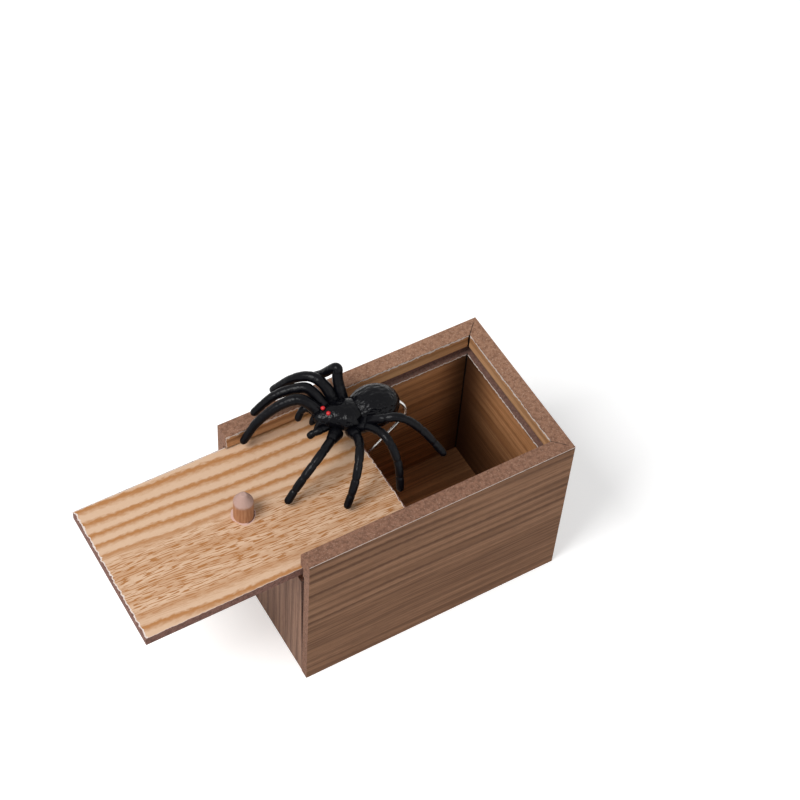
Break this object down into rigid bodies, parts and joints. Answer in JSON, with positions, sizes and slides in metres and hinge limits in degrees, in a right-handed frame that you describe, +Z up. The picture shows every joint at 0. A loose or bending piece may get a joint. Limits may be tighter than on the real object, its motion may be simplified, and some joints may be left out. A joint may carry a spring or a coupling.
{
  "type": "jack in the box",
  "caption": "Wooden prank box with a sliding lid: drawing the lid out flips a rubber spider up on a torsion spring, and closing it tucks the spider inside.",
  "frame": {"origin": "middle of the box's underside", "axes": "+X from the open front to the back wall, the lid is drawn out towards -X; +Z up; +Y to the left of someone who looks along +X"},
  "size_m": [0.1855, 0.0784, 0.1063],
  "materials": {
    "box_board": "printed wood-grain paper over fibreboard",
    "lid_board": "printed wood-grain paper over fibreboard",
    "knob_wood": "bare dowel",
    "staple_steel": "plain",
    "spring_steel": "bright drawn wire",
    "spider_rubber": "soft moulded, satin",
    "eye_paint": "gloss paint"
  },
  "bodies": {
    "box": {"left_wall": "box_board", "right_wall": "box_board", "back_wall": "box_board", "front_panel": "box_board", "floor_panel": "box_board"},
    "lid": {"lid_panel": "lid_board", "lid_knob": "knob_wood", "coil_staple": "staple_steel", "leg_staples": "staple_steel", "torsion_spring": "spring_steel"},
    "spider": {"spider_cephalothorax": "spider_rubber", "spider_abdomen": "spider_rubber", "spider_fangs": "spider_rubber", "spider_palps": "spider_rubber", "spider_eyes": "eye_paint", "left_leg_1": "spider_rubber", "left_leg_2": "spider_rubber", "left_leg_3": "spider_rubber", "left_leg_4": "spider_rubber", "right_leg_1": "spider_rubber", "right_leg_2": "spider_rubber", "right_leg_3": "spider_rubber", "right_leg_4": "spider_rubber"}
  },
  "joints": [
    {"name": "lid_slide", "type": "slide", "parent": "box", "child": "lid", "axis": [1, 0, 0], "range_m": [0, 0.0655]},
    {"name": "spider_flip", "type": "hinge", "parent": "lid", "child": "spider", "pos_m": [-0.0186, 0, 0.0645], "axis": [0, 1, 0], "range_deg": [0, 220], "stiffness_Nm_per_rad": 0.002, "springref_deg": -17.19, "deforming": ["torsion_spring", "spider_palps", "left_leg_1", "left_leg_2", "left_leg_3", "left_leg_4", "right_leg_1", "right_leg_2", "right_leg_3", "right_leg_4"]}
  ],
  "couplings": [
    {"joint": "spider_flip", "follows": "lid_slide", "rad_per_m": 58.6}
  ]
}
